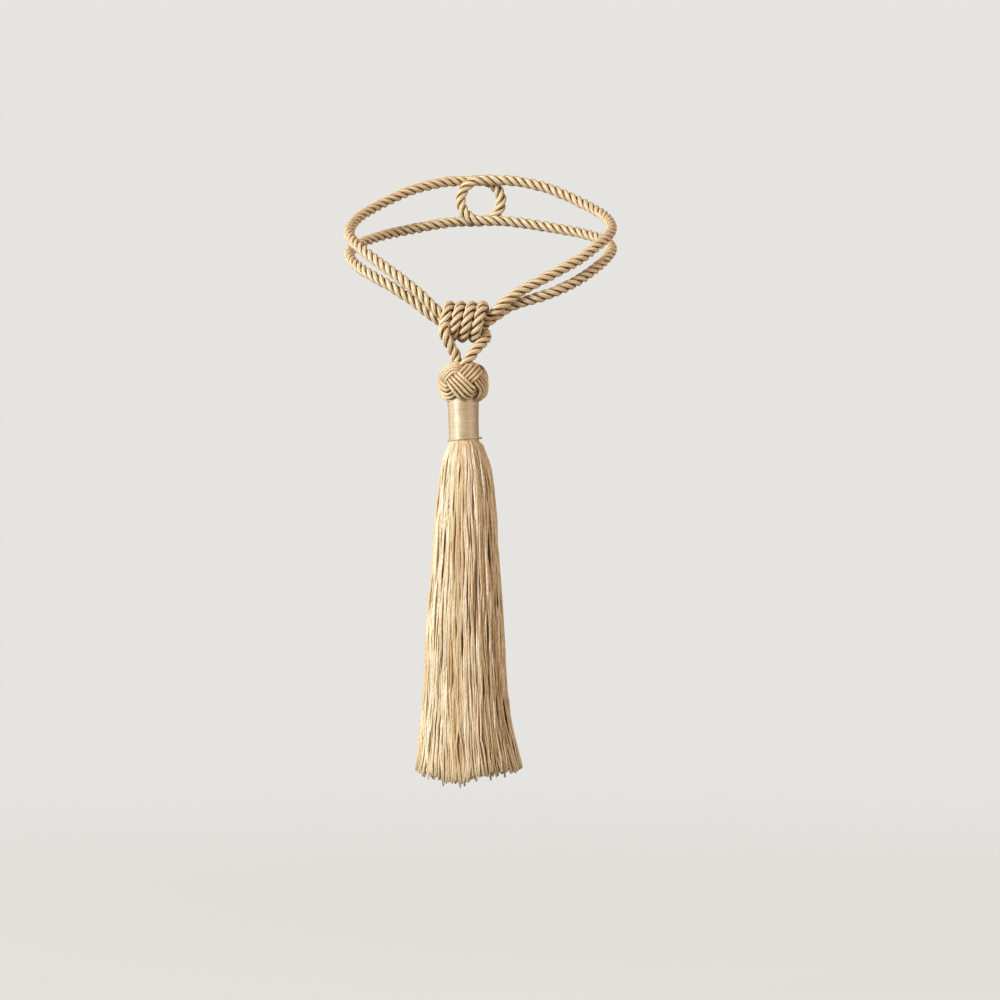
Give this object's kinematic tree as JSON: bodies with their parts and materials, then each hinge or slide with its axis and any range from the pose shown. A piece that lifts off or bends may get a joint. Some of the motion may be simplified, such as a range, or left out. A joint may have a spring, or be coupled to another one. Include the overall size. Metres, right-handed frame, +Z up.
{
  "type": "curtain tieback tassel",
  "caption": "Curtain tieback: a twisted rope ring hangs from a wall hook round a bunched curtain, with a rope coil at its front carrying a knotted ball, a bound neck and a thread skirt.",
  "frame": {"origin": "the middle of the eye that the ring's bights make for the wall hook", "axes": "+Z up, +Y towards the wall, -Y into the room; the tassel hangs at the front"},
  "size_m": [0.184, 0.1731, 0.4102],
  "materials": {
    "twisted_rope": "silky twisted strands",
    "knot_cord": "smooth wound cord",
    "satin_thread": "satin, wound in fine turns",
    "skirt_thread": "silky loose threads"
  },
  "bodies": {
    "root": {"ring_rope": "twisted_rope", "coil_rope": "twisted_rope", "knot_ball": "knot_cord", "bound_neck": "satin_thread", "thread_skirt": "skirt_thread"}
  },
  "joints": []
}
